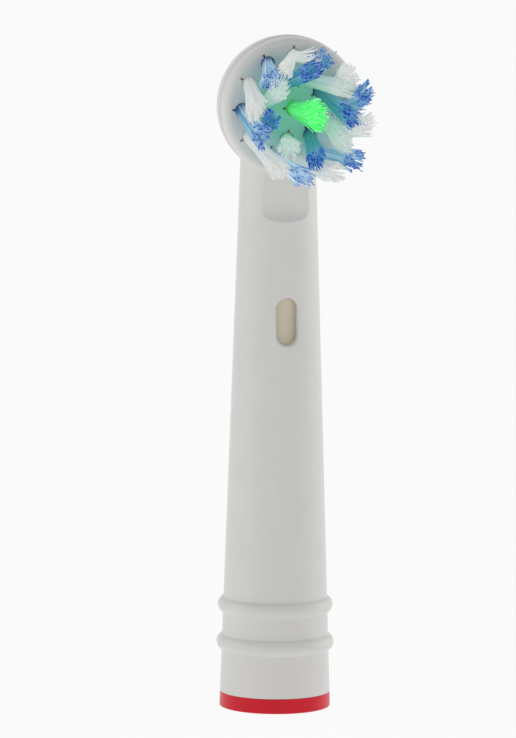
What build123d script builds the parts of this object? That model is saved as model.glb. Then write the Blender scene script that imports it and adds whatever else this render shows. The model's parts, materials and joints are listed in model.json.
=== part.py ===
from build123d import *
import math
import os

# Replacement brush head for an electric toothbrush, in millimetres.
# +Z runs up the neck from the foot, the brush faces -Y, the origin is the centre of the foot.

# Neck, foot and grip ribs
foot_radius = 6.44
neck_taper = 0.0315
skirt_height = 15.5
neck_top_depth = 7.4
neck_overlap = 1.0
neck_sections = 6
rib_lower_height = 7.6
rib_spacing = 4.4
rib_half_width = 0.95
rib_proud = 0.62

# Flat on the front of the neck, below the cup
flat_length = 4.75
flat_depth = 0.95
flat_run_out = 0.8

# Window in the front of the neck, its middle dropped below the disc's axis
window_drop = 25.3
window_length = 5.55
window_width = 2.5
window_round = 0.35

# Cup behind the disc
disc_axis_height = 71.1
cup_radius = 8.2
cup_wall = 1.1
cup_side = 0.25
cup_back = 3.9
cup_edge_round = 0.15

# Handle socket and colour ring
socket_radius = 5.2
socket_depth = 9.0
key_width = 1.5
key_depth = 0.35
key_count = 4
ring_height = 1.75
ring_flange = 0.5
spigot_wall = 0.65
ring_bead = 0.12
ring_fit = 0.03
ring_round = 0.2

# Bush that carries the shaft's lower end
bush_length = 3.2
bush_step = 0.5
bush_fit = 0.02
bush_chamfer = 0.3

# Drive shaft
shaft_sleeve_radius = 3.7
shaft_sleeve_length = 21.5
shaft_rod_radius = 3.35
shaft_collar_width = 0.55
shaft_collar_length = 1.2
shaft_journal_radius = 2.5
shaft_fit = 0.04
shaft_end_play = 0.2
shaft_side_gap = 0.25
collar_side_gap = 0.3
bearing_length = 9.0
drive_bore_radius = 1.95
drive_bore_flat = 1.35
drive_bore_depth = 20.0
drive_bore_chamfer = 0.4

# Spring clip round the shaft's sleeve
clip_height = 12.5
clip_width = 2.4
clip_thickness = 0.3
clip_gap_angle = 80.0
clip_fit = 0.02

# Crank pin
crank_throw = 1.65
crank_pin_radius = 0.5
crank_pin_seat = 5.0
crank_pin_above_waist = 0.6
crank_slot_play = 0.1
pin_fit = 0.01
pin_end_chamfer = 0.15

# Disc, hub and its pins
face_reach = 6.5
plate_rim = 2.3
plate_inset = 0.05
plate_step = 0.55
plate_gap = 0.25
plate_round = 0.7
hub_radius = 3.4
hub_length = 2.9
hub_gap = 0.4
crank_arm = 2.2
slot_flare = 26.0
slot_depth_past_waist = 0.85
disc_swing = 22.0
axle_radius = 0.8
axle_fit = 0.04
axle_seat = 2.9
axle_reach_in_plate = 0.1
axle_end_gap = 0.15
lock_pin_radius = 0.6
lock_pin_set_back = 1.9
lock_pin_engagement = 0.8
lock_pin_recess = 0.15
lock_play = 0.12

# Tufts
tuft_hole_radius = 0.8
tuft_hole_depth = 1.9
tuft_fit = 0.02
tuft_height = 8.15
tuft_lean = 16.5
tuft_splay = 1.0
tuft_collar = 0.35
tuft_tip_gap = 0.3
tuft_tip_stretch = 1.35
centre_tuft_lean = 1.0
centre_tuft_flare = 1.2
centre_hole_radius = 0.9
plate_land = 0.82
ring_step = 2.5
outer_count = 12
inner_count = 8
outer_start_angle = 90.0
inner_start_angle = 78.0
anchor_thickness = 0.28
anchor_height = 1.2
anchor_bite = 0.35
anchor_lift = 0.2
cut_margin = 1.0

# Worked-out levels along the neck
neck_top_height = disc_axis_height - neck_overlap
rib_heights = [rib_lower_height, rib_lower_height + rib_spacing]
bush_top = socket_depth + bush_length
bush_radius = socket_radius - bush_step
collar_base = bush_top + shaft_end_play
shaft_collar_radius = shaft_sleeve_radius + shaft_collar_width
well_base_radius = shaft_collar_radius + collar_side_gap
window_height = disc_axis_height - window_drop
crank_waist_height = disc_axis_height - crank_arm
hub_well_radius = hub_radius + hub_gap
bore_top = disc_axis_height - crank_arm - cut_margin
journal_top = disc_axis_height - cup_radius + shaft_end_play
bearing_base = journal_top - shaft_end_play - bearing_length
shaft_foot = socket_depth + shaft_end_play
shaft_shoulder = bearing_base - shaft_end_play
journal_bore = shaft_journal_radius + shaft_fit
well_top_radius = shaft_rod_radius + shaft_side_gap
clip_base = shaft_foot + clip_height
clip_groove_radius = shaft_sleeve_radius - clip_thickness - clip_fit
crank_pin_top = crank_waist_height + crank_pin_above_waist

# Worked-out reaches in front of the neck's axis
rim_back = face_reach - plate_rim
cup_reach = rim_back - plate_gap
plate_back = rim_back - plate_step
plate_well = plate_back - plate_gap
hub_back = plate_back - hub_length
hub_well = hub_back - plate_gap
plate_radius = cup_radius - plate_inset
step_radius = cup_radius - cup_wall - plate_gap
dome_start = cup_reach - cup_side

# Worked-out tuft layout
anchor_length = 2 * (tuft_hole_radius + anchor_bite)
outer_ring_radius = plate_radius - plate_land - anchor_length / 2
inner_ring_radius = outer_ring_radius - ring_step
lean_slope = math.tan(math.radians(tuft_lean))
splay_slope = math.tan(math.radians(tuft_splay))
centre_slope = math.tan(math.radians(centre_tuft_lean))
outer_tip_radius = math.hypot(outer_ring_radius + splay_slope * tuft_height, lean_slope * tuft_height)
inner_tip_radius = math.hypot(inner_ring_radius, lean_slope * tuft_height)
tuft_tip_radius = (outer_tip_radius - inner_tip_radius - tuft_tip_gap) / 2


def neck_radius(height):
    # Half-width of the neck at a height above the foot.
    return foot_radius - neck_taper * height


def neck_half_depth(height):
    # Half of the neck's thickness, front to back, at a height above the skirt.
    share = (height - skirt_height) / (neck_top_height - skirt_height)
    return neck_radius(skirt_height) + (neck_top_depth / 2 - neck_radius(skirt_height)) * share


def head_plane(reach):
    # Plane square to the disc's axis, facing forward, at a reach in front of the neck's axis.
    return Plane(origin=(0, -reach, disc_axis_height), x_dir=(1, 0, 0), z_dir=(0, -1, 0))


def tuft_frame(ring_radius, angle, lean, splay):
    # Plane at a tuft's root on the disc's face: its Z runs along the tuft, its X points outward.
    turn = math.radians(angle)
    outward = Vector(math.cos(turn), 0, math.sin(turn))
    around = Vector(-math.sin(turn), 0, math.cos(turn))
    forward = Vector(0, -1, 0)
    root = Vector(0, -face_reach, disc_axis_height) + outward * ring_radius
    run = (forward + around * lean + outward * splay).normalized()
    side = run.cross(outward).normalized()
    return Plane(origin=root, x_dir=side.cross(run), z_dir=run)


def save(builder, name):
    # Name a finished piece and write it out.
    builder.part.label = name
    export_step(builder.part, f"parts/{name}.step")


os.makedirs("parts", exist_ok=True)

# Tuft layout: name, hole radius, ring radius, angle, lean, splay
tufts = []
for i in range(outer_count):
    colour = "white" if i % 2 == 0 else "blue"
    angle = outer_start_angle + i * 360 / outer_count
    name = f"outer_{colour}_tuft_{i // 2 + 1}"
    tufts.append((name, tuft_hole_radius, outer_ring_radius, angle, lean_slope, splay_slope))
for i in range(inner_count):
    colour = "white" if i % 2 == 0 else "blue"
    angle = inner_start_angle + i * 360 / inner_count
    name = f"inner_{colour}_tuft_{i // 2 + 1}"
    tufts.append((name, tuft_hole_radius, inner_ring_radius, angle, -lean_slope, 0.0))
tufts.append(("centre_green_tuft", centre_hole_radius, 0.0, 0.0, 0.0, centre_slope))

frames = {}
for name, hole_radius, ring_radius, angle, lean, splay in tufts:
    frames[name] = tuft_frame(ring_radius, angle, lean, splay)

# Neck and cup: one white moulding
flat_base = disc_axis_height - cup_radius - flat_length
flat_y = flat_depth - neck_half_depth(flat_base)
with BuildPart() as neck_housing:
    # Skirt at the foot, with its spigot for the colour ring
    with BuildSketch(Plane.XZ):
        with BuildLine():
            spigot_radius = socket_radius + spigot_wall
            bead_height = (ring_flange + ring_height) / 2
            groove_half = ring_bead + ring_fit
            Polyline(
                (0, ring_flange + ring_fit),
                (spigot_radius, ring_flange + ring_fit),
                (spigot_radius, bead_height - 2 * groove_half),
                (spigot_radius - ring_bead, bead_height),
                (spigot_radius, bead_height + 2 * groove_half),
                (spigot_radius, ring_height + ring_fit),
                (neck_radius(ring_height), ring_height + ring_fit),
                (neck_radius(skirt_height), skirt_height),
                (0, skirt_height),
                close=True,
            )
        make_face()
    revolve(axis=Axis.Z)
    # Rounded grip ribs
    with BuildSketch(Plane.XZ):
        for height in rib_heights:
            with BuildLine():
                lower = (neck_radius(height - rib_half_width), height - rib_half_width)
                crest = (neck_radius(height) + rib_proud, height)
                upper = (neck_radius(height + rib_half_width), height + rib_half_width)
                ThreePointArc(lower, crest, upper)
                Polyline(upper, (socket_radius, upper[1]), (socket_radius, lower[1]), lower)
            make_face()
    revolve(axis=Axis.Z)
    # Tapering neck, round at the skirt and oval at the top
    for i in range(neck_sections):
        height = skirt_height + (neck_top_height - skirt_height) * i / (neck_sections - 1)
        with BuildSketch(Plane.XY.offset(height)):
            Ellipse(neck_radius(height), neck_half_depth(height))
    loft()
    # Flat on the front, running out in a curve at its lower end
    with BuildSketch(Plane.YZ):
        with BuildLine():
            corner = (flat_y, flat_base + flat_run_out)
            foot_point = (flat_y - flat_depth - cut_margin, flat_base - flat_run_out)
            TangentArc(corner, foot_point, tangent=(0, -1))
            Polyline(
                foot_point,
                (-foot_radius, foot_point[1]),
                (-foot_radius, disc_axis_height),
                (flat_y, disc_axis_height),
                corner,
            )
        make_face()
    extrude(amount=foot_radius, both=True, mode=Mode.SUBTRACT)
    # Cup: short straight side at the front and a domed back
    with BuildSketch(Plane.YZ):
        with BuildLine():
            EllipticalCenterArc(
                (-dome_start, disc_axis_height),
                cup_back + dome_start,
                cup_radius,
                start_angle=0,
                arc_size=90,
            )
            Polyline(
                (-dome_start, disc_axis_height + cup_radius),
                (-cup_reach, disc_axis_height + cup_radius),
                (-cup_reach, disc_axis_height),
                (cup_back, disc_axis_height),
            )
        make_face()
    revolve(axis=Axis((0, 0, disc_axis_height), (0, 1, 0)))
    # Wells for the disc's step and hub, and the axle's hole
    with BuildSketch(head_plane(plate_well)):
        Circle(step_radius + plate_gap)
    extrude(amount=cup_reach - plate_well, mode=Mode.SUBTRACT)
    fillet(neck_housing.edges().filter_by(GeomType.CIRCLE).group_by(Axis.Y)[0], cup_edge_round)
    with BuildSketch(head_plane(hub_well)):
        Circle(hub_well_radius)
    extrude(amount=plate_well - hub_well, mode=Mode.SUBTRACT)
    with BuildSketch(head_plane(hub_well)):
        Circle(axle_radius + pin_fit)
    extrude(amount=-axle_seat, mode=Mode.SUBTRACT)
    # Hole for the lock pin, from the cup's tip down to the hub's well
    with BuildSketch(Plane.XY.offset(disc_axis_height + hub_radius)):
        with Locations((0, -lock_pin_set_back)):
            Circle(lock_pin_radius + pin_fit)
    extrude(amount=cup_radius, mode=Mode.SUBTRACT)
    # Handle socket with key grooves, bush seat, well for the shaft and its upper bearing
    with BuildSketch(Plane.XY):
        Circle(socket_radius)
        with PolarLocations(socket_radius, key_count):
            Rectangle(2 * key_depth, key_width)
    extrude(amount=socket_depth, mode=Mode.SUBTRACT)
    with BuildSketch(Plane.XZ):
        with BuildLine():
            Polyline(
                (0, socket_depth),
                (bush_radius, socket_depth),
                (bush_radius, bush_top),
                (well_base_radius, bush_top),
                (well_top_radius, bearing_base),
                (journal_bore, bearing_base),
                (journal_bore, bore_top),
                (0, bore_top),
                close=True,
            )
        make_face()
    revolve(axis=Axis.Z, mode=Mode.SUBTRACT)
    # Window with a softened outer edge
    with BuildSketch(Plane(origin=(0, 0, window_height), x_dir=(1, 0, 0), z_dir=(0, -1, 0))):
        SlotOverall(window_length, window_width, rotation=90)
    extrude(amount=foot_radius, mode=Mode.SUBTRACT)
    window_edges = neck_housing.edges().filter_by_position(
        Axis.Z,
        window_height - window_length / 2 - pin_fit,
        window_height + window_length / 2 + pin_fit,
    )
    outer_edges = [e for e in window_edges if e.center().Y < -(well_base_radius + well_top_radius) / 2]
    fillet(outer_edges, window_round)
save(neck_housing, "neck_housing")

# Colour ring: snaps over the spigot at the foot, its flange notched like the socket
with BuildPart() as colour_ring:
    with BuildSketch(Plane.XZ):
        with BuildLine():
            band_radius = socket_radius + spigot_wall + ring_fit
            bead_height = (ring_flange + ring_height) / 2
            Polyline(
                (socket_radius, 0),
                (foot_radius, 0),
                (neck_radius(ring_height), ring_height),
                (band_radius, ring_height),
                (band_radius, bead_height + 2 * ring_bead),
                (band_radius - ring_bead, bead_height),
                (band_radius, bead_height - 2 * ring_bead),
                (band_radius, ring_flange),
                (socket_radius, ring_flange),
                close=True,
            )
        make_face()
    revolve(axis=Axis.Z)
    fillet(colour_ring.edges().group_by(Axis.Z)[0].sort_by(SortBy.RADIUS)[-1:], ring_round)
    with BuildSketch(Plane.XY):
        with PolarLocations(socket_radius, key_count):
            Rectangle(2 * key_depth, key_width)
    extrude(amount=ring_flange, mode=Mode.SUBTRACT)
save(colour_ring, "colour_ring")

# Bush in the neck's foot, round the shaft's sleeve
with BuildPart() as retaining_bush:
    with BuildSketch(Plane.XY.offset(socket_depth)):
        Circle(bush_radius - bush_fit)
        Circle(shaft_sleeve_radius + shaft_fit, mode=Mode.SUBTRACT)
    extrude(amount=bush_length)
    chamfer(retaining_bush.edges().filter_by(GeomType.CIRCLE).sort_by(SortBy.RADIUS)[-2:], bush_chamfer)
save(retaining_bush, "retaining_bush")

# Drive shaft: sleeve with a D-shaped bore below, tapering rod in the middle, journal on top
with BuildPart() as drive_shaft:
    with BuildSketch(Plane.XZ):
        with BuildLine():
            Polyline(
                (0, shaft_foot),
                (shaft_sleeve_radius, shaft_foot),
                (shaft_sleeve_radius, collar_base),
                (shaft_collar_radius, collar_base),
                (shaft_collar_radius, collar_base + shaft_collar_length),
                (shaft_sleeve_radius, collar_base + shaft_collar_length),
                (shaft_sleeve_radius, clip_base),
                (clip_groove_radius, clip_base),
                (clip_groove_radius, clip_base + clip_width + clip_fit),
                (shaft_sleeve_radius, clip_base + clip_width + clip_fit),
                (shaft_sleeve_radius, shaft_foot + shaft_sleeve_length),
                (shaft_rod_radius, shaft_shoulder),
                (shaft_journal_radius, shaft_shoulder),
                (shaft_journal_radius, journal_top),
                (0, journal_top),
                close=True,
            )
        make_face()
    revolve(axis=Axis.Z)
    # D-shaped bore for the handle's shaft
    with BuildSketch(Plane.XY.offset(shaft_foot)):
        Circle(drive_bore_radius)
        with Locations((0, drive_bore_flat + drive_bore_radius)):
            Rectangle(2 * drive_bore_radius, 2 * drive_bore_radius, mode=Mode.SUBTRACT)
    extrude(amount=drive_bore_depth, mode=Mode.SUBTRACT)
    bore_mouth = drive_shaft.faces().sort_by(Axis.Z)[0].inner_wires()[0]
    chamfer(bore_mouth.edges(), drive_bore_chamfer)
    # Slot through which the clip's tongue reaches the bore's flat
    with BuildSketch(Plane.XY.offset(clip_base)):
        with Locations((0, drive_bore_flat + shaft_sleeve_radius / 2)):
            Rectangle(clip_thickness + 2 * clip_fit, shaft_sleeve_radius)
    extrude(amount=clip_width + clip_fit, mode=Mode.SUBTRACT)
    # Off-centre hole for the crank pin
    with BuildSketch(Plane.XY.offset(journal_top)):
        with Locations((0, -crank_throw)):
            Circle(crank_pin_radius + pin_fit)
    extrude(amount=-crank_pin_seat, mode=Mode.SUBTRACT)
save(drive_shaft, "drive_shaft")

# Spring clip: an open band round the sleeve with a tongue bent in to the bore's flat
with BuildPart() as shaft_clip:
    with BuildSketch(Plane.XY.offset(clip_base + clip_fit / 2)):
        Circle(shaft_sleeve_radius)
        Circle(shaft_sleeve_radius - clip_thickness, mode=Mode.SUBTRACT)
        with BuildLine():
            gap = math.radians(clip_gap_angle)
            reach = 2 * shaft_sleeve_radius
            Polyline(
                (0, 0),
                (clip_thickness / 2, reach),
                (reach * math.sin(gap), reach * max(math.cos(gap), 0)),
                close=True,
            )
        make_face(mode=Mode.SUBTRACT)
        tongue_base = drive_bore_flat + clip_fit
        tongue_top = shaft_sleeve_radius - clip_thickness / 2
        with Locations((0, (tongue_base + tongue_top) / 2)):
            Rectangle(clip_thickness, tongue_top - tongue_base)
    extrude(amount=clip_width)
save(shaft_clip, "shaft_clip")

# Crank pin in the shaft's top
with BuildPart() as crank_pin:
    with BuildSketch(Plane.XY.offset(journal_top - crank_pin_seat)):
        with Locations((0, -crank_throw)):
            Circle(crank_pin_radius)
    extrude(amount=crank_pin_top - journal_top + crank_pin_seat)
    chamfer(crank_pin.edges().filter_by(GeomType.CIRCLE), pin_end_chamfer)
save(crank_pin, "crank_pin")

# Axle pin in the cup's back
with BuildPart() as axle_pin:
    axle_tip = plate_back + axle_reach_in_plate
    with BuildSketch(head_plane(hub_well - axle_seat)):
        Circle(axle_radius)
    extrude(amount=axle_tip - hub_well + axle_seat)
    chamfer(axle_pin.edges().filter_by(GeomType.CIRCLE), pin_end_chamfer)
save(axle_pin, "axle_pin")

# Lock pin from the cup's tip into the hub's pocket
with BuildPart() as lock_pin:
    dome_share = (dome_start - lock_pin_set_back) / (cup_back + dome_start)
    lock_top = cup_radius * math.sqrt(1 - dome_share ** 2) - lock_pin_recess
    lock_base = hub_radius - lock_pin_engagement
    with BuildSketch(Plane.XY.offset(disc_axis_height + lock_base)):
        with Locations((0, -lock_pin_set_back)):
            Circle(lock_pin_radius)
    extrude(amount=lock_top - lock_base)
    chamfer(lock_pin.edges().filter_by(GeomType.CIRCLE), pin_end_chamfer)
save(lock_pin, "lock_pin")

# Disc: round plate over the cup's edge, with angled tuft holes, a step and a hub behind it
with BuildPart() as brush_disc:
    with BuildSketch(head_plane(rim_back)):
        Circle(plate_radius)
    extrude(amount=plate_rim)
    fillet(brush_disc.edges().group_by(Axis.Y)[0], plate_round)
    with BuildSketch(head_plane(plate_back)):
        Circle(step_radius)
    extrude(amount=plate_step)
    with BuildSketch(head_plane(hub_back)):
        Circle(hub_radius)
    extrude(amount=hub_length)
    # Bore for the axle
    with BuildSketch(head_plane(hub_back)):
        Circle(axle_radius + axle_fit)
    extrude(amount=hub_length + axle_reach_in_plate + axle_end_gap, mode=Mode.SUBTRACT)
    # Waisted slot for the crank pin: narrowest at the crank arm, flared both ways
    with BuildSketch(head_plane(hub_back)):
        with BuildLine():
            waist = crank_pin_radius + crank_slot_play
            flare = math.tan(math.radians(slot_flare))
            slot_top = crank_arm - slot_depth_past_waist
            slot_mouth = hub_radius + cut_margin
            top_half = waist + flare * (crank_arm - slot_top)
            mouth_half = waist + flare * (slot_mouth - crank_arm)
            Polyline(
                (-waist, -crank_arm),
                (-top_half, -slot_top),
                (top_half, -slot_top),
                (waist, -crank_arm),
                (mouth_half, -slot_mouth),
                (-mouth_half, -slot_mouth),
                close=True,
            )
        make_face()
    extrude(amount=hub_length, mode=Mode.SUBTRACT)
    # Pocket for the lock pin, wide enough for the disc's swing
    with BuildSketch(head_plane(lock_pin_set_back - lock_pin_radius - lock_play)):
        with BuildLine():
            pocket_floor = hub_radius - lock_pin_engagement - lock_play
            pocket_half = disc_swing + math.degrees(math.asin((lock_pin_radius + lock_play) / pocket_floor))
            pocket_top = hub_radius + cut_margin
            inner_arc = CenterArc((0, 0), pocket_floor, 90 - pocket_half, 2 * pocket_half)
            outer_arc = CenterArc((0, 0), pocket_top, 90 - pocket_half, 2 * pocket_half)
            Line(inner_arc @ 0, outer_arc @ 0)
            Line(inner_arc @ 1, outer_arc @ 1)
        make_face()
    extrude(amount=2 * (lock_pin_radius + lock_play), mode=Mode.SUBTRACT)
    # Tuft holes, drilled along each tuft, with slits left by the anchors
    for name, hole_radius, ring_radius, angle, lean, splay in tufts:
        with BuildSketch(frames[name].offset(tuft_collar)):
            Circle(hole_radius)
        extrude(amount=-tuft_hole_depth - tuft_collar, mode=Mode.SUBTRACT)
        with BuildSketch(frames[name].offset(tuft_collar)):
            Rectangle(2 * (hole_radius + anchor_bite), anchor_thickness)
        extrude(amount=anchor_lift - tuft_hole_depth - tuft_collar, mode=Mode.SUBTRACT)
save(brush_disc, "brush_disc")

# Anchors: one thin plate across the bottom of each hole
with BuildPart() as tuft_anchors:
    for name, hole_radius, ring_radius, angle, lean, splay in tufts:
        with BuildSketch(frames[name].offset(anchor_lift - tuft_hole_depth)):
            Rectangle(2 * (hole_radius + anchor_bite), anchor_thickness)
        extrude(amount=anchor_height)
save(tuft_anchors, "tuft_anchors")

# Tufts: round root in the hole, folded round its anchor, flaring to a flat-trimmed tip
for name, hole_radius, ring_radius, angle, lean, splay in tufts:
    frame = frames[name]
    root_radius = hole_radius - tuft_fit
    turn = math.radians(angle)
    out_shift = ring_radius + splay * tuft_height
    side_shift = lean * tuft_height
    tip_x = out_shift * math.cos(turn) - side_shift * math.sin(turn)
    tip_z = out_shift * math.sin(turn) + side_shift * math.cos(turn)
    tip_plane = head_plane(face_reach + tuft_height)
    with BuildPart() as tuft:
        with BuildSketch(frame.offset(-tuft_hole_depth)):
            Circle(root_radius)
        extrude(amount=tuft_hole_depth + tuft_collar)
        with BuildSketch(frame.offset(tuft_collar)):
            Circle(root_radius)
        with BuildSketch(tip_plane):
            with Locations((tip_x, tip_z)):
                if ring_radius > 0:
                    bearing = math.degrees(math.atan2(tip_z, tip_x))
                    Ellipse(tuft_tip_radius, tuft_tip_radius * tuft_tip_stretch, rotation=bearing)
                else:
                    Circle(root_radius * centre_tuft_flare)
        loft()
        with BuildSketch(frame.offset(anchor_lift - tuft_hole_depth)):
            Rectangle(2 * (hole_radius + anchor_bite), anchor_thickness)
        extrude(amount=anchor_height, mode=Mode.SUBTRACT)
    save(tuft, name)
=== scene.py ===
import json
import math

import bpy
import numpy as np
from mathutils import Matrix, Vector


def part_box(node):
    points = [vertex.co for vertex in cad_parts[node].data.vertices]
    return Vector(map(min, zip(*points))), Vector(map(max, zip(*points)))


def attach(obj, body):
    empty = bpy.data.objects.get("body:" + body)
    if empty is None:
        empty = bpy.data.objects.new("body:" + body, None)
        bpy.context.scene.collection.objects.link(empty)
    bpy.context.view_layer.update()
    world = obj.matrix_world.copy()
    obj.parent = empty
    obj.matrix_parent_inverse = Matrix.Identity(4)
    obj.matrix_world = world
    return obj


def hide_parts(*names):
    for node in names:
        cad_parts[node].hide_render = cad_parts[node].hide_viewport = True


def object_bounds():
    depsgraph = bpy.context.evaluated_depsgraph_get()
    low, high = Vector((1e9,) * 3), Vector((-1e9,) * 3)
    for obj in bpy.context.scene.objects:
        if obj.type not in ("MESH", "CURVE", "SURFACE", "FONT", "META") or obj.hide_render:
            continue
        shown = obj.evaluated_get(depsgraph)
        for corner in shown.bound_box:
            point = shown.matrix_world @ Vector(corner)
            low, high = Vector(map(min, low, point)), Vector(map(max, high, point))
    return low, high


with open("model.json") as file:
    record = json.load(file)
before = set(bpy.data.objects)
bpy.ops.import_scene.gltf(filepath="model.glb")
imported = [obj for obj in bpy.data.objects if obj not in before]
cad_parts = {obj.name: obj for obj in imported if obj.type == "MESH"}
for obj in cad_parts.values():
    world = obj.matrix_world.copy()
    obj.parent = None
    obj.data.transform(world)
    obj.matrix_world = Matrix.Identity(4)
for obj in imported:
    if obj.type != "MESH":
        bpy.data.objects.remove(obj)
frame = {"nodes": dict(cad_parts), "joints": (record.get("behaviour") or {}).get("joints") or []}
cad_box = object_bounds()

# Replacement brush head for an electric toothbrush: finishes, filaments, floor, light and camera.
# Lengths are in metres, in the model's own frame: +Z up the neck, the brush faces -Y.

MM = 0.001

# Tuft layout, as on the disc. Angles are in degrees, leans are slopes against the disc's axis
RING_COLOURS = ("white", "blue")
OUTER_COUNT = 12
INNER_COUNT = 8
OUTER_START_ANGLE = 90.0
INNER_START_ANGLE = 78.0
OUTER_RING_RADIUS = 6.18 * MM
INNER_RING_RADIUS = 3.68 * MM
HOLE_RADIUS = 0.79 * MM
CENTRE_HOLE_RADIUS = 0.89 * MM
TUFT_LEAN = math.tan(math.radians(16.5))
TUFT_SPLAY = math.tan(math.radians(1.0))
CENTRE_LEAN = math.tan(math.radians(1.0))

# Filaments: their form, how they gather in clumps, and how unevenly they stand
FILAMENT_RADIUS = 0.062 * MM
FILAMENT_SIDES = 6
FILAMENT_SPANS = 8
FILAMENTS_PER_TUFT = 150
FILAMENT_DEPTH = 0.45 * MM
CLUMPS_PER_TUFT = 12
CLUMP_GATHER = 0.25
CLUMP_UNEVENNESS = 0.20 * MM
CLUMP_SCATTER = 0.14 * MM
TIP_UNEVENNESS = 0.10 * MM
TIP_SCATTER = 0.11 * MM
BEND_SCATTER = 0.10 * MM
STRAY_SHARE = 0.06
STRAY_SCATTER = 0.4 * MM
GOLDEN_ANGLE = math.pi * (3.0 - math.sqrt(5.0))
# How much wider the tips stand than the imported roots, outward and around the ring
RING_TIP_SPREAD = (1.5, 2.0)
CENTRE_TIP_SPREAD = (2.0, 2.8)
# Round end of a filament, in shares of its radius
SHOULDER_RADIUS = 0.72
SHOULDER_HEIGHT = 0.62
END_HEIGHT = 0.92
# Handles of a filament's curve at its root and at its tip, in shares of its length
ROOT_HANDLE = 0.4
TIP_HANDLE = 0.35
# Tips that stand off their hole's line: outward and around the ring, in millimetres
TIP_SHIFTS = {
    "outer_white_tuft_1": (-0.4, 0.3),
    "outer_blue_tuft_1": (0.1, -0.5),
    "outer_blue_tuft_2": (-0.2, -0.5),
    "outer_white_tuft_3": (0.0, 0.7),
    "outer_white_tuft_4": (0.2, 0.3),
    "outer_blue_tuft_4": (0.8, -0.5),
    "outer_white_tuft_5": (-0.4, 0.0),
    "inner_white_tuft_1": (0.4, -0.5),
    "inner_blue_tuft_1": (1.1, -0.4),
    "inner_white_tuft_2": (1.0, -0.4),
    "inner_blue_tuft_2": (0.5, -0.3),
    "inner_white_tuft_3": (0.3, 0.5),
    "inner_blue_tuft_3": (0.8, 0.3),
    "inner_white_tuft_4": (0.6, 0.3),
    "centre_green_tuft": (0.5, 0.3),
}
# A tuft that has parted: the share of its filaments that went the other way, and how far they stand off
PARTED_TUFTS = {"outer_white_tuft_1": (0.30, (0.8, -2.1))}
# How much dye the filaments took up, from 0 to 1, and the tufts that took up less or more
DYE_RANGE = (0.0, 1.0)
DYE_RANGES = {
    "outer_blue_tuft_3": (0.0, 0.62),
    "outer_blue_tuft_4": (0.25, 0.85),
    "outer_blue_tuft_5": (0.3, 1.0),
    "outer_blue_tuft_6": (0.5, 1.0),
}

# Texture of the finishes: scales in features per millimetre, and where on a noise the tints lie
CLOUD_SCALE = 0.25
CLOUD_STOPS = (0.35, 0.65)
DISC_CLOUD_SCALE = 0.6
DISC_CLOUD_DETAIL = 2.0
SKIN_SCALE = 9.0
STREAK_SCALE = 4.0
STREAK_STOPS = (0.3, 0.7)
FINE_DETAIL = 3.0
MOULDED_RELIEF = 0.004 * MM
SHAFT_RELIEF = 0.006 * MM
DRAWN_RELIEF = 0.002 * MM
# How far the grain of a metal is stretched: none in stamped plate, along Z in drawn wire
STAMPED_GRAIN = (1.0, 1.0, 1.0)
DRAWN_GRAIN = (1.0, 1.0, 0.1)

# Plastics: darker and paler tint of the clouding, and the range of roughness
WHITE_TINTS = ((0.795, 0.785, 0.756), (0.815, 0.805, 0.779))
WHITE_ROUGHNESS = (0.30, 0.38)
RED_TINTS = ((0.71, 0.003, 0.018), (0.79, 0.005, 0.027))
RED_ROUGHNESS = (0.30, 0.40)
RED_SPECULAR_LEVEL = 0.3
RED_SHEEN = 0.3
RED_SHEEN_ROUGHNESS = 0.3
RED_SHEEN_TINT = (1.0, 0.75, 0.95, 1.0)
NATURAL_TINTS = ((0.55, 0.505, 0.40), (0.60, 0.555, 0.445))
NATURAL_ROUGHNESS = (0.36, 0.46)
# A painted glow stands in for the light that comes to the shaft through the neck's thin wall, and lifts the
# shade in the window
NATURAL_PAINTED_GLOW_COLOUR = (0.68, 0.62, 0.48, 1.0)
NATURAL_PAINTED_GLOW = 0.16
# Painted colour bleed on the white disc, the light let through the dyed filaments, from its centre to its
# rim, as shares of a radius in millimetres
DISC_BLEED_RADIUS = 8.15
DISC_PAINTED_BLEED_TINTS = [
    (0.0, (0.36, 0.93, 0.69)),
    (0.42, (0.46, 0.91, 0.80)),
    (0.62, (0.66, 0.86, 0.88)),
    (0.82, (0.73, 0.79, 0.78)),
    (0.92, (0.80, 0.805, 0.785)),
]
DISC_ROUGHNESS = (0.34, 0.44)

# Metals: darker and paler tint of the streaks, and the range of roughness
BRASS_TINTS = ((0.22, 0.14, 0.05), (0.34, 0.23, 0.09))
BRASS_ROUGHNESS = (0.30, 0.45)
SPRING_TINTS = ((0.46, 0.46, 0.47), (0.60, 0.60, 0.61))
SPRING_ROUGHNESS = (0.22, 0.34)
PIN_TINTS = ((0.52, 0.52, 0.53), (0.66, 0.66, 0.67))
PIN_ROUGHNESS = (0.16, 0.28)

# Filament colours: of the shaft from root to tip, and of the cut ends from little dye to much
CAP_START = 0.94
CAP_FULL = 0.97
# The white shaft darkens towards the root: painted shade at the foot of the tuft
WHITE_SHAFT = [(0.0, (0.53, 0.55, 0.54)), (0.12, (0.61, 0.64, 0.63)), (1.0, (0.64, 0.67, 0.66))]
WHITE_CAPS = [(0.0, (0.72, 0.72, 0.71)), (1.0, (0.57, 0.58, 0.57))]
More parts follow.
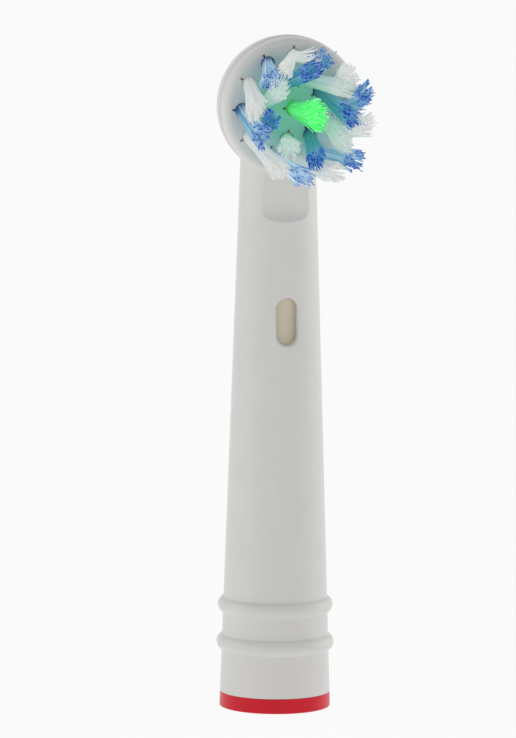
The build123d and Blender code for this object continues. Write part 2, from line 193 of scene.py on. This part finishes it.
# Inner white filaments: white nylon with painted green colour bleed from the centre tuft and painted shade,
# both strongest towards the root
BLEED_TINTED_SHAFT = [
    (0.0, (0.22, 0.52, 0.40)),
    (0.30, (0.36, 0.58, 0.49)),
    (0.65, (0.51, 0.64, 0.59)),
    (1.0, (0.60, 0.66, 0.64)),
]
BLEED_TINTED_CAPS = [(0.0, (0.63, 0.70, 0.67)), (1.0, (0.49, 0.56, 0.54))]
PALE_BLUE_SHAFT = [
    (0.0, (0.03, 0.08, 0.26)),
    (0.11, (0.09, 0.20, 0.38)),
    (0.27, (0.29, 0.48, 0.61)),
    (1.0, (0.31, 0.52, 0.66)),
]
PALE_BLUE_CAPS = [
    (0.0, (0.49, 0.63, 0.72)),
    (0.30, (0.28, 0.46, 0.67)),
    (0.55, (0.09, 0.20, 0.51)),
    (1.0, (0.0, 0.05, 0.37)),
]
# Blue filaments of the inner ring: a darker, greener copy of the pale blue, with painted shade and painted
# green colour bleed
SHADED_BLUE_SHAFT = [
    (0.0, (0.02, 0.07, 0.20)),
    (0.10, (0.03, 0.16, 0.26)),
    (0.30, (0.05, 0.29, 0.33)),
    (0.75, (0.09, 0.36, 0.46)),
    (1.0, (0.13, 0.38, 0.60)),
]
SHADED_BLUE_CAPS = [
    (0.0, (0.27, 0.47, 0.72)),
    (0.35, (0.11, 0.26, 0.59)),
    (0.60, (0.03, 0.11, 0.45)),
    (1.0, (0.0, 0.04, 0.34)),
]
# The green shaft darkens towards the root: painted shade at the foot of the tuft
GREEN_SHAFT = [(0.0, (0.02, 0.45, 0.06)), (0.2, (0.06, 0.70, 0.15)), (1.0, (0.08, 0.78, 0.19))]
GREEN_CAPS = [(0.0, (0.36, 0.87, 0.44)), (1.0, (0.07, 0.70, 0.18))]
# Saturation and value of a shaft's colour, from little dye to much
WHITE_SATURATION = (1.0, 1.0)
BLEED_TINTED_SATURATION = (0.9, 1.1)
PALE_BLUE_SATURATION = (0.3, 1.5)
SHADED_BLUE_SATURATION = (0.85, 1.1)
GREEN_SATURATION = (0.85, 1.0)
EVEN_VALUE = (1.06, 0.92)
STREAKED_VALUE = (1.3, 0.74)
# A painted glow lifts the shade between the filaments. It stands in for the light that clear nylon leads
# along inside, and for the green partly for its fluorescent dye
WHITE_PAINTED_GLOW = 0.34
BLUE_PAINTED_GLOW = 0.30
GREEN_PAINTED_GLOW = 0.42
BRISTLE_ROUGHNESS = (0.22, 0.36)
BRISTLE_SUBSURFACE = 0.4
BRISTLE_SUBSURFACE_RADIUS = (1.0, 1.0, 1.0)
BRISTLE_SUBSURFACE_REACH = 0.25 * MM

# Floor: it lies a hair below the foot, so that their faces don't coincide
FLOOR_HALF = 4.0
FLOOR_CLEARANCE = 0.01 * MM
FLOOR_COLOUR = (0.9, 0.9, 0.9, 1.0)
FLOOR_ROUGHNESS = 0.9
FLOOR_WHITE_SHARE = 0.92
FLOOR_LIGHT_SHARE = 0.6

# Light: strength of the world, and places and watts of the lamps
WORLD_COLOUR = (1.0, 1.0, 1.0, 1.0)
WORLD_WHITE = 1.0
WORLD_LIGHT = 0.40
LAMP_SIZE = 0.5
LEFT_LAMP_PLACE = (-0.5, 0.05, 0.16)
LEFT_LAMP_POWER = 0.6
RIGHT_LAMP_PLACE = (0.5, 0.05, 0.16)
RIGHT_LAMP_POWER = 0.78
FRONT_LAMP_PLACE = (-0.1, -0.9, 0.05)
FRONT_LAMP_POWER = 0.5

# Camera: angles in degrees, sensor in millimetres, and the height of its frame at the target
CAMERA_AZIMUTH = -15.5
CAMERA_ELEVATION = 8.9
CAMERA_ROLL = 0.36
CAMERA_DISTANCE = 2.0
CAMERA_TARGET_HEIGHT = 39.4 * MM
CAMERA_SIDE_STEP = -2.18 * MM
CAMERA_RISE = 0.22 * MM
CAMERA_CLIP_START = 0.01
VIEW_HEIGHT = 85.75 * MM
SENSOR_HEIGHT = 24.0

nodes = frame["nodes"]
joints = {joint["name"]: joint for joint in frame["joints"]}
disc_axis_height = joints["disc_rock"]["pos_m"][2]
face_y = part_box("brush_disc")[0].y
tip_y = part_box("centre_green_tuft")[0].y
tuft_height = face_y - tip_y


# Materials


def new_material(name):
    """A material with its node tree and its main shader."""
    material = bpy.data.materials.new(name)
    material.use_nodes = True
    tree = material.node_tree
    return material, tree, tree.nodes["Principled BSDF"]


def millimetres(tree, stretch=(1.0, 1.0, 1.0), location=(0.0, 0.0, 0.0)):
    """The piece's own coordinates in millimetres, stretched and moved if need be."""
    coordinates = tree.nodes.new("ShaderNodeTexCoord")
    mapping = tree.nodes.new("ShaderNodeMapping")
    mapping.inputs["Location"].default_value = location
    mapping.inputs["Scale"].default_value = tuple(value / MM for value in stretch)
    tree.links.new(coordinates.outputs["Object"], mapping.inputs["Vector"])
    return mapping.outputs["Vector"]


def noise(tree, vector, scale, detail=FINE_DETAIL):
    """Noise with a scale in features per millimetre."""
    node = tree.nodes.new("ShaderNodeTexNoise")
    node.inputs["Scale"].default_value = scale
    node.inputs["Detail"].default_value = detail
    tree.links.new(vector, node.inputs["Vector"])
    return node.outputs["Fac"]


def ramp(tree, factor, stops):
    """A colour ramp over a factor, from (position, colour) stops."""
    node = tree.nodes.new("ShaderNodeValToRGB")
    elements = node.color_ramp.elements
    while len(elements) < len(stops):
        elements.new(0.5)
    for element, (position, colour) in zip(elements, stops):
        element.position = position
        element.color = (*colour, 1.0)
    tree.links.new(factor, node.inputs["Fac"])
    return node.outputs["Color"]


def spread(tree, factor, low, high):
    """A factor stretched to a range of values."""
    node = tree.nodes.new("ShaderNodeMapRange")
    node.inputs["To Min"].default_value = low
    node.inputs["To Max"].default_value = high
    tree.links.new(factor, node.inputs["Value"])
    return node.outputs["Result"]


def add_bump(tree, shader, height, depth):
    """Fine relief of a depth in metres."""
    node = tree.nodes.new("ShaderNodeBump")
    node.inputs["Distance"].default_value = depth
    tree.links.new(height, node.inputs["Height"])
    tree.links.new(node.outputs["Normal"], shader.inputs["Normal"])


def moulded_plastic(name, tints, roughness, relief):
    """Moulded plastic: faint clouding, uneven gloss and a fine die-worn skin."""
    material, tree, shader = new_material(name)
    vector = millimetres(tree)
    clouds = noise(tree, vector, CLOUD_SCALE)
    skin = noise(tree, vector, SKIN_SCALE)
    tree.links.new(ramp(tree, clouds, list(zip(CLOUD_STOPS, tints))), shader.inputs["Base Color"])
    tree.links.new(spread(tree, clouds, *roughness), shader.inputs["Roughness"])
    add_bump(tree, shader, skin, relief)
    return material, shader


def white_plastic():
    """White plastic of the neck and the cup."""
    material, _ = moulded_plastic("white_plastic", WHITE_TINTS, WHITE_ROUGHNESS, MOULDED_RELIEF)
    return material


def red_plastic():
    """Red plastic of the ring, with a pinker sheen where it turns away."""
    material, shader = moulded_plastic("red_plastic", RED_TINTS, RED_ROUGHNESS, MOULDED_RELIEF)
    shader.inputs["Specular IOR Level"].default_value = RED_SPECULAR_LEVEL
    shader.inputs["Sheen Weight"].default_value = RED_SHEEN
    shader.inputs["Sheen Roughness"].default_value = RED_SHEEN_ROUGHNESS
    shader.inputs["Sheen Tint"].default_value = RED_SHEEN_TINT
    return material


def natural_plastic():
    """Undyed plastic of the drive shaft and its bush, with a painted glow that lifts its shade."""
    material, shader = moulded_plastic("natural_plastic", NATURAL_TINTS, NATURAL_ROUGHNESS, SHAFT_RELIEF)
    # Painted glow: emission stands in for light through the neck's wall and lifts the shade in the window
    shader.inputs["Emission Color"].default_value = NATURAL_PAINTED_GLOW_COLOUR
    shader.inputs["Emission Strength"].default_value = NATURAL_PAINTED_GLOW
    return material


def disc_plastic():
    """Plastic of the disc: pale rim, with painted colour bleed towards the middle from the light let through
    the dyed filaments set in it.
    """
    material, tree, shader = new_material("disc_plastic")
    # Painted colour bleed: a tint by distance from the disc's axis
    from_axis = millimetres(tree, stretch=(1.0, 0.0, 1.0), location=(0.0, 0.0, -disc_axis_height / MM))
    radius = tree.nodes.new("ShaderNodeVectorMath")
    radius.operation = "LENGTH"
    tree.links.new(from_axis, radius.inputs[0])
    share = tree.nodes.new("ShaderNodeMapRange")
    share.inputs["From Max"].default_value = DISC_BLEED_RADIUS
    tree.links.new(radius.outputs["Value"], share.inputs["Value"])
    tree.links.new(ramp(tree, share.outputs["Result"], DISC_PAINTED_BLEED_TINTS), shader.inputs["Base Color"])
    vector = millimetres(tree)
    clouds = noise(tree, vector, DISC_CLOUD_SCALE, DISC_CLOUD_DETAIL)
    tree.links.new(spread(tree, clouds, *DISC_ROUGHNESS), shader.inputs["Roughness"])
    add_bump(tree, shader, noise(tree, vector, SKIN_SCALE), MOULDED_RELIEF)
    return material


def metal(name, tints, roughness, grain):
    """Metal with fine streaks along its grain."""
    material, tree, shader = new_material(name)
    shader.inputs["Metallic"].default_value = 1.0
    streaks = noise(tree, millimetres(tree, stretch=grain), STREAK_SCALE)
    tree.links.new(ramp(tree, streaks, list(zip(STREAK_STOPS, tints))), shader.inputs["Base Color"])
    tree.links.new(spread(tree, streaks, *roughness), shader.inputs["Roughness"])
    add_bump(tree, shader, streaks, DRAWN_RELIEF)
    return material


def bristle(name, shaft_stops, cap_stops, saturation, value, glow):
    """Nylon filament: each strand took up more dye or less, which shows on its shaft and its cut end. A
    painted glow in its own colour lifts its shade.
    """
    material, tree, shader = new_material(name)
    along = tree.nodes.new("ShaderNodeAttribute")
    along.attribute_name = "along"
    strand = tree.nodes.new("ShaderNodeAttribute")
    strand.attribute_name = "strand"
    shaft = tree.nodes.new("ShaderNodeHueSaturation")
    tree.links.new(ramp(tree, along.outputs["Fac"], shaft_stops), shaft.inputs["Color"])
    tree.links.new(spread(tree, strand.outputs["Fac"], *saturation), shaft.inputs["Saturation"])
    tree.links.new(spread(tree, strand.outputs["Fac"], *value), shaft.inputs["Value"])
    cap = ramp(tree, strand.outputs["Fac"], cap_stops)
    at_cap = tree.nodes.new("ShaderNodeMapRange")
    at_cap.inputs["From Min"].default_value = CAP_START
    at_cap.inputs["From Max"].default_value = CAP_FULL
    tree.links.new(along.outputs["Fac"], at_cap.inputs["Value"])
    colour = tree.nodes.new("ShaderNodeMix")
    colour.data_type = "RGBA"
    tree.links.new(at_cap.outputs["Result"], colour.inputs["Factor"])
    tree.links.new(shaft.outputs["Color"], colour.inputs["A"])
    tree.links.new(cap, colour.inputs["B"])
    tree.links.new(colour.outputs["Result"], shader.inputs["Base Color"])
    tree.links.new(spread(tree, strand.outputs["Fac"], *BRISTLE_ROUGHNESS), shader.inputs["Roughness"])
    shader.inputs["Subsurface Weight"].default_value = BRISTLE_SUBSURFACE
    shader.inputs["Subsurface Radius"].default_value = BRISTLE_SUBSURFACE_RADIUS
    shader.inputs["Subsurface Scale"].default_value = BRISTLE_SUBSURFACE_REACH
    # Painted glow: emission in the filament's own colour lifts the shade between filaments
    tree.links.new(colour.outputs["Result"], shader.inputs["Emission Color"])
    shader.inputs["Emission Strength"].default_value = glow
    return material


finishes = {
    "neck_housing": white_plastic(),
    "colour_ring": red_plastic(),
    "drive_shaft": natural_plastic(),
    "brush_disc": disc_plastic(),
    "tuft_anchors": metal("anchor_brass", BRASS_TINTS, BRASS_ROUGHNESS, STAMPED_GRAIN),
    "shaft_clip": metal("spring_steel", SPRING_TINTS, SPRING_ROUGHNESS, DRAWN_GRAIN),
    "crank_pin": metal("pin_steel", PIN_TINTS, PIN_ROUGHNESS, DRAWN_GRAIN),
}
finishes["retaining_bush"] = finishes["drive_shaft"]
finishes["axle_pin"] = finishes["crank_pin"]
finishes["lock_pin"] = finishes["crank_pin"]
for name, material in finishes.items():
    nodes[name].data.materials.clear()
    nodes[name].data.materials.append(material)

bristles = {
    "outer_white": bristle(
        "white_bristle", WHITE_SHAFT, WHITE_CAPS, WHITE_SATURATION, EVEN_VALUE, WHITE_PAINTED_GLOW
    ),
    # Inner white: painted green colour bleed and painted shade on white nylon
    "inner_white": bristle(
        "bleed_tinted_bristle", BLEED_TINTED_SHAFT, BLEED_TINTED_CAPS, BLEED_TINTED_SATURATION, EVEN_VALUE, WHITE_PAINTED_GLOW
    ),
    "outer_blue": bristle(
        "pale_blue_bristle", PALE_BLUE_SHAFT, PALE_BLUE_CAPS, PALE_BLUE_SATURATION, STREAKED_VALUE, BLUE_PAINTED_GLOW
    ),
    # Inner blue: the blue with painted shade and painted green colour bleed
    "inner_blue": bristle(
        "shaded_blue_bristle", SHADED_BLUE_SHAFT, SHADED_BLUE_CAPS, SHADED_BLUE_SATURATION, EVEN_VALUE, BLUE_PAINTED_GLOW
    ),
    "centre_green": bristle(
        "green_bristle", GREEN_SHAFT, GREEN_CAPS, GREEN_SATURATION, EVEN_VALUE, GREEN_PAINTED_GLOW
    ),
}


# Filaments


def tube_mesh(name, paths, strands):
    """One mesh of round-ended tubes along the paths, an array of strand by point by coordinate."""
    count, points = paths.shape[:2]
    turns = np.arange(FILAMENT_SIDES) * 2.0 * np.pi / FILAMENT_SIDES
    tangents = np.gradient(paths, axis=1)
    tangents /= np.linalg.norm(tangents, axis=2, keepdims=True)
    side = np.cross(tangents, np.array([0.0, 0.0, 1.0]))
    side /= np.linalg.norm(side, axis=2, keepdims=True)
    cross = np.cross(tangents, side)
    spokes = (
        side[:, :, None, :] * np.cos(turns)[None, None, :, None]
        + cross[:, :, None, :] * np.sin(turns)[None, None, :, None]
    )
    shaft = paths[:, :, None, :] + FILAMENT_RADIUS * spokes
    last_point = paths[:, -1, None, :]
    end = tangents[:, -1, None, :] * FILAMENT_RADIUS
    shoulder = last_point + SHOULDER_RADIUS * FILAMENT_RADIUS * spokes[:, -1] + SHOULDER_HEIGHT * end
    tip = last_point + END_HEIGHT * end
    foot = paths[:, :1, :]
    verts = np.concatenate([shaft.reshape(count, -1, 3), shoulder, tip, foot], axis=1)
    per_strand = verts.shape[1]
    rings = points + 1
    faces = []
    for ring in range(rings - 1):
        for k in range(FILAMENT_SIDES):
            a = ring * FILAMENT_SIDES + k
            b = ring * FILAMENT_SIDES + (k + 1) % FILAMENT_SIDES
            faces.append((a, b, b + FILAMENT_SIDES, a + FILAMENT_SIDES))
    last = (rings - 1) * FILAMENT_SIDES
    tip_index = rings * FILAMENT_SIDES
    foot_index = tip_index + 1
    for k in range(FILAMENT_SIDES):
        after = (k + 1) % FILAMENT_SIDES
        faces.append((last + k, last + after, tip_index))
        faces.append((after, k, foot_index))
    all_faces = [tuple(i + s * per_strand for i in face) for s in range(count) for face in faces]
    mesh = bpy.data.meshes.new(name)
    mesh.from_pydata(verts.reshape(-1, 3).tolist(), [], all_faces)
    mesh.polygons.foreach_set("use_smooth", np.ones(len(mesh.polygons), dtype=bool))
    shares = np.linspace(0.0, 1.0, points)
    along = np.concatenate([np.repeat(shares, FILAMENT_SIDES), np.ones(FILAMENT_SIDES + 1), [0.0]])
    attribute = mesh.attributes.new("along", "FLOAT", "POINT")
    attribute.data.foreach_set("value", np.tile(along, count).astype(np.float32))
    attribute = mesh.attributes.new("strand", "FLOAT", "POINT")
    attribute.data.foreach_set("value", np.repeat(strands, per_strand).astype(np.float32))
    return mesh


def tip_shifts(node, packed):
    """How far each filament's tip stands off the hole's line, outward and around the ring."""
    shifts = np.tile(TIP_SHIFTS.get(node, (0.0, 0.0)), (len(packed), 1))
    if node in PARTED_TUFTS:
        share, other_shift = PARTED_TUFTS[node]
        shifts[packed[:, 1] < np.quantile(packed[:, 1], share)] = other_shift
    return shifts * MM


def filament_paths(rng, node, ring_radius, angle, lean, splay, hole_radius, tip_spread):
    """Paths of one tuft's filaments: packed in the hole, bending from the hole's line to clumped tips."""
    turn = math.radians(angle)
    outward = np.array([math.cos(turn), 0.0, math.sin(turn)])
    around = np.array([-math.sin(turn), 0.0, math.cos(turn)])
    forward = np.array([0.0, -1.0, 0.0])
    across = np.stack([outward, around])
    root = np.array([0.0, face_y, disc_axis_height]) + outward * ring_radius
    slope = np.array([splay, lean])
    hole_line = forward + slope @ across
    hole_line /= np.linalg.norm(hole_line)

    count = FILAMENTS_PER_TUFT
    order = np.arange(count)
    reach = (hole_radius - FILAMENT_RADIUS) * np.sqrt((order + 0.5) / count)
    bearing = order * GOLDEN_ANGLE + rng.uniform(0.0, 2.0 * np.pi)
    packed = np.stack([reach * np.cos(bearing), reach * np.sin(bearing)], axis=1)

    middles = packed[rng.choice(count, CLUMPS_PER_TUFT, replace=False)]
    clump = np.argmin(np.linalg.norm(packed[:, None] - middles[None], axis=2), axis=1)
    gathered = packed + CLUMP_GATHER * (middles[clump] - packed)
    height = tuft_height + rng.normal(0.0, CLUMP_UNEVENNESS, CLUMPS_PER_TUFT)[clump]
    height = (height + rng.normal(0.0, TIP_UNEVENNESS, count))[:, None]
    scatter = np.where(rng.uniform(0.0, 1.0, (count, 1)) < STRAY_SHARE, STRAY_SCATTER, TIP_SCATTER)
    tip_place = gathered * tip_spread + rng.normal(0.0, CLUMP_SCATTER, (CLUMPS_PER_TUFT, 2))[clump]
    tip_place = tip_place + scatter * rng.normal(0.0, 1.0, (count, 2))
    tip_place = tip_place + slope * height + tip_shifts(node, packed)

    start = root + packed @ across - FILAMENT_DEPTH * hole_line
    tip = root + tip_place @ across + height * forward
    length = np.linalg.norm(tip - start, axis=1)[:, None]
    near = start + ROOT_HANDLE * length * hole_line
    far = tip - TIP_HANDLE * length * (tip - near) / np.linalg.norm(tip - near, axis=1)[:, None]
    far = far + rng.normal(0.0, BEND_SCATTER, (count, 2)) @ across
    t = np.linspace(0.0, 1.0, FILAMENT_SPANS + 1)[None, :, None]
    return (
        start[:, None, :] * (1.0 - t) ** 3
        + near[:, None, :] * 3.0 * t * (1.0 - t) ** 2
        + far[:, None, :] * 3.0 * t ** 2 * (1.0 - t)
        + tip[:, None, :] * t ** 3
    )


def add_tuft(ring, colour, number, seed, ring_radius, angle, lean, splay, hole_radius, tip_spread):
    """The filaments of one tuft, in place of its solid."""
    node = f"{ring}_{colour}_tuft{number}"
    rng = np.random.default_rng(seed)
    paths = filament_paths(rng, node, ring_radius, angle, lean, splay, hole_radius, tip_spread)
    strands = rng.uniform(*DYE_RANGES.get(node, DYE_RANGE), FILAMENTS_PER_TUFT)
    mesh = tube_mesh(node + "_filaments", paths, strands)
    mesh.materials.append(bristles[f"{ring}_{colour}"])
    piece = bpy.data.objects.new(node + "_filaments", mesh)
    bpy.context.scene.collection.objects.link(piece)
    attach(piece, "brush")
    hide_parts(node)


for i in range(OUTER_COUNT):
    add_tuft(
        "outer", RING_COLOURS[i % 2], f"_{i // 2 + 1}", i, OUTER_RING_RADIUS,
        OUTER_START_ANGLE + i * 360.0 / OUTER_COUNT, TUFT_LEAN, TUFT_SPLAY, HOLE_RADIUS, RING_TIP_SPREAD,
    )
for i in range(INNER_COUNT):
    add_tuft(
        "inner", RING_COLOURS[i % 2], f"_{i // 2 + 1}", OUTER_COUNT + i, INNER_RING_RADIUS,
        INNER_START_ANGLE + i * 360.0 / INNER_COUNT, -TUFT_LEAN, 0.0, HOLE_RADIUS, RING_TIP_SPREAD,
    )
add_tuft(
    "centre", "green", "", OUTER_COUNT + INNER_COUNT, 0.0, 0.0, 0.0, CENTRE_LEAN,
    CENTRE_HOLE_RADIUS, CENTRE_TIP_SPREAD,
)


# Floor, light and camera


def seen_directly(tree):
    """1 for rays that show the background itself: camera, mirror and see-through rays."""
    path = tree.nodes.new("ShaderNodeLightPath")
    first = tree.nodes.new("ShaderNodeMath")
    first.operation = "MAXIMUM"
    tree.links.new(path.outputs["Is Camera Ray"], first.inputs[0])
    tree.links.new(path.outputs["Is Glossy Ray"], first.inputs[1])
    second = tree.nodes.new("ShaderNodeMath")
    second.operation = "MAXIMUM"
    tree.links.new(first.outputs["Value"], second.inputs[0])
    tree.links.new(path.outputs["Is Transmission Ray"], second.inputs[1])
    return second.outputs["Value"]


def add_floor():
    """Pale floor, lit from within like a light table, whiter where it is seen, that takes the shadow."""
    mesh = bpy.data.meshes.new("floor")
    corners = [(-FLOOR_HALF, -FLOOR_HALF, 0.0), (FLOOR_HALF, -FLOOR_HALF, 0.0)]
    corners += [(FLOOR_HALF, FLOOR_HALF, 0.0), (-FLOOR_HALF, FLOOR_HALF, 0.0)]
    mesh.from_pydata(corners, [], [(0, 1, 2, 3)])
    material, tree, shader = new_material("floor")
    shader.inputs["Base Color"].default_value = FLOOR_COLOUR
    shader.inputs["Roughness"].default_value = FLOOR_ROUGHNESS
    glow = tree.nodes.new("ShaderNodeEmission")
    mix = tree.nodes.new("ShaderNodeMixShader")
    share = spread(tree, seen_directly(tree), FLOOR_LIGHT_SHARE, FLOOR_WHITE_SHARE)
    tree.links.new(share, mix.inputs["Fac"])
    tree.links.new(shader.outputs["BSDF"], mix.inputs[1])
    tree.links.new(glow.outputs["Emission"], mix.inputs[2])
    tree.links.new(mix.outputs["Shader"], tree.nodes["Material Output"].inputs["Surface"])
    mesh.materials.append(material)
    floor = bpy.data.objects.new("floor", mesh)
    floor.location.z = cad_box[0][2] - FLOOR_CLEARANCE
    bpy.context.scene.collection.objects.link(floor)


def set_world():
    """White all round: full white where it is seen, softer as light on the object."""
    world = bpy.data.worlds.new("studio")
    world.use_nodes = True
    tree = world.node_tree
    background = tree.nodes["Background"]
    background.inputs["Color"].default_value = WORLD_COLOUR
    strength = spread(tree, seen_directly(tree), WORLD_LIGHT, WORLD_WHITE)
    tree.links.new(strength, background.inputs["Strength"])
    bpy.context.scene.world = world


def add_lamp(name, place, power):
    """Square soft lamp, aimed at the middle of the object and not seen itself."""
    lamp = bpy.data.lights.new(name, "AREA")
    lamp.energy = power
    lamp.size = LAMP_SIZE
    holder = bpy.data.objects.new(name, lamp)
    target = Vector((0.0, 0.0, CAMERA_TARGET_HEIGHT))
    holder.location = place
    holder.rotation_euler = (target - Vector(place)).to_track_quat("-Z", "Y").to_euler()
    holder.visible_camera = False
    bpy.context.scene.collection.objects.link(holder)


def add_camera():
    """Camera at the photograph's angle, with a long lens."""
    azimuth, elevation, roll = (math.radians(a) for a in (CAMERA_AZIMUTH, CAMERA_ELEVATION, CAMERA_ROLL))
    back = Vector((
        math.sin(azimuth) * math.cos(elevation),
        -math.cos(azimuth) * math.cos(elevation),
        math.sin(elevation),
    ))
    level = Vector((math.cos(azimuth), math.sin(azimuth), 0.0))
    rise = back.cross(level)
    right = level * math.cos(roll) + rise * math.sin(roll)
    up = rise * math.cos(roll) - level * math.sin(roll)
    target = Vector((0.0, 0.0, CAMERA_TARGET_HEIGHT)) + right * CAMERA_SIDE_STEP + up * CAMERA_RISE
    data = bpy.data.cameras.new("camera")
    data.sensor_fit = "VERTICAL"
    data.sensor_height = SENSOR_HEIGHT
    data.lens = SENSOR_HEIGHT * CAMERA_DISTANCE / VIEW_HEIGHT
    data.clip_start = CAMERA_CLIP_START
    camera = bpy.data.objects.new("camera", data)
    axes = Matrix((right, up, back)).transposed()
    camera.matrix_world = Matrix.Translation(target + back * CAMERA_DISTANCE) @ axes.to_4x4()
    bpy.context.scene.collection.objects.link(camera)
    bpy.context.scene.camera = camera


add_floor()
set_world()
add_lamp("left_lamp", LEFT_LAMP_PLACE, LEFT_LAMP_POWER)
add_lamp("right_lamp", RIGHT_LAMP_PLACE, RIGHT_LAMP_POWER)
add_lamp("front_lamp", FRONT_LAMP_PLACE, FRONT_LAMP_POWER)
add_camera()
bpy.context.scene.view_settings.view_transform = "Standard"
